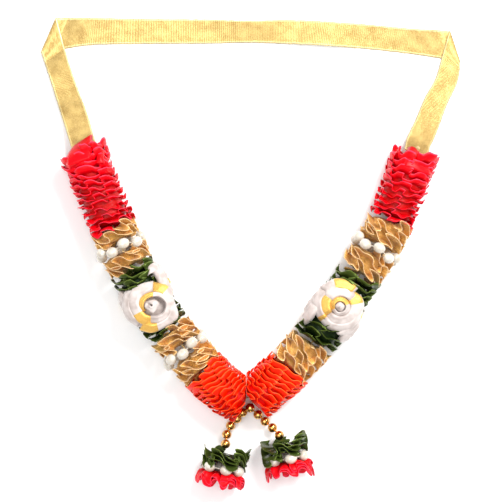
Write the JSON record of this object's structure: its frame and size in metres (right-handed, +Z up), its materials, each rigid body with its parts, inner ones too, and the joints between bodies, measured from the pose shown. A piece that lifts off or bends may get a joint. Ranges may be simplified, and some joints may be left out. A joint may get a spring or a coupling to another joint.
{
  "type": "ribbon garland",
  "caption": "Ribbon garland: flat neck ribbon, gathered ruffle strands with folded roses and pearl rings meeting in a V, and tassels on a beaded string.",
  "frame": {"origin": "centre of the garland's footprint on the surface it lies on", "axes": "+Z up off the surface, +Y from the tassels towards the neck ribbon, +X to the right as seen from above"},
  "size_m": [0.2707, 0.3053, 0.0324],
  "materials": {
    "red_satin": "glossy satin ribbon",
    "orange_satin": "glossy satin ribbon",
    "gold_tissue": "gold tissue ribbon with a metallic weft",
    "green_satin": "dark glossy satin ribbon",
    "cream_satin": "cream satin ribbon with a gold stripe",
    "pearl": "ivory pearl lacquer",
    "gilt_bead": "gold metallised beads",
    "cotton": "cotton stringing thread"
  },
  "bodies": {
    "root": {"neck_ribbon": "gold_tissue", "strand_thread": "cotton", "left_red_ruffle": "red_satin", "left_gold_ruffle_1": "gold_tissue", "left_pearls_1": "pearl", "left_gold_ruffle_2": "gold_tissue", "left_green_ruffle": "green_satin", "left_rose_front": "cream_satin", "left_rose_inner": "cream_satin", "left_rose_outer": "cream_satin", "left_gold_ruffle_3": "gold_tissue", "left_pearls_2": "pearl", "left_gold_ruffle_4": "gold_tissue", "left_orange_ruffle": "orange_satin", "right_red_ruffle": "red_satin", "right_gold_ruffle_1": "gold_tissue", "right_pearls_1": "pearl", "right_gold_ruffle_2": "gold_tissue", "right_green_ruffle": "green_satin", "right_rose_front": "cream_satin", "right_rose_inner": "cream_satin", "right_rose_outer": "cream_satin", "right_gold_ruffle_3": "gold_tissue", "right_orange_ruffle": "orange_satin", "bead_string": "gilt_bead", "left_tassel_green": "green_satin", "left_tassel_pearls": "pearl", "left_tassel_red": "red_satin", "right_tassel_green": "green_satin", "right_tassel_pearls": "pearl", "right_tassel_red": "red_satin"}
  },
  "joints": []
}
